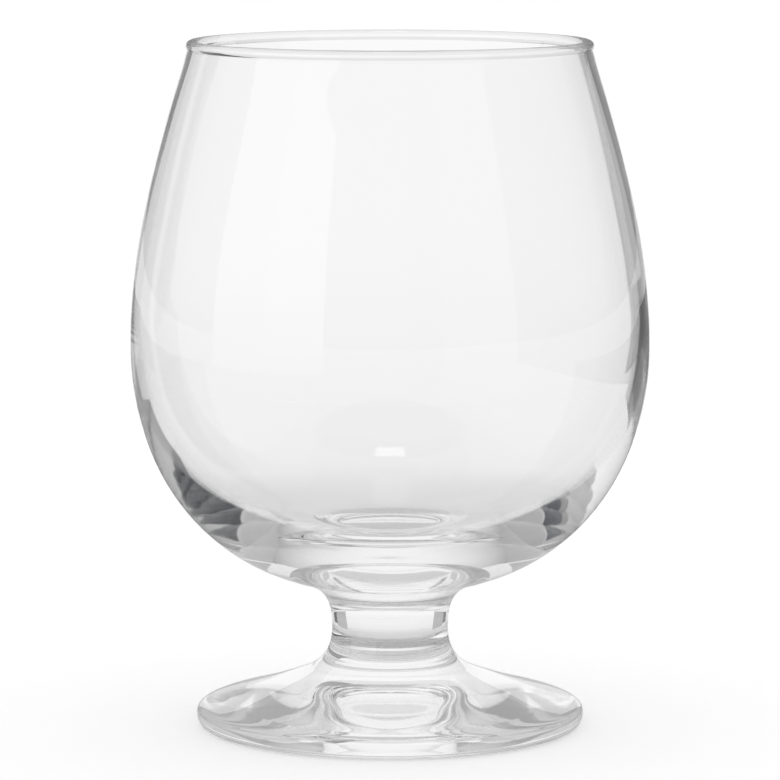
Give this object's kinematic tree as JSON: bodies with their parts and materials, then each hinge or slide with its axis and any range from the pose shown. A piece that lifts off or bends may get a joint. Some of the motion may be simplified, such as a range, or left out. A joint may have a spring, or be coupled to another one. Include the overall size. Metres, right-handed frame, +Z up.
{
  "type": "beer glass",
  "caption": "Clear glass beer goblet: wide bowl that narrows to a beaded rim, short thick waisted stem and round sloping foot to stand on.",
  "frame": {"origin": "where the axis of the glass meets the plane that the foot rests on", "axes": "+Z up along the axis of the glass, from the foot to the rim; -Y towards the camera of the picture"},
  "size_m": [0.102, 0.102, 0.135],
  "materials": {
    "clear_glass": "clear soda-lime glass, fire-polished"
  },
  "bodies": {
    "root": {"bowl": "clear_glass", "stem": "clear_glass", "foot": "clear_glass"}
  },
  "joints": []
}
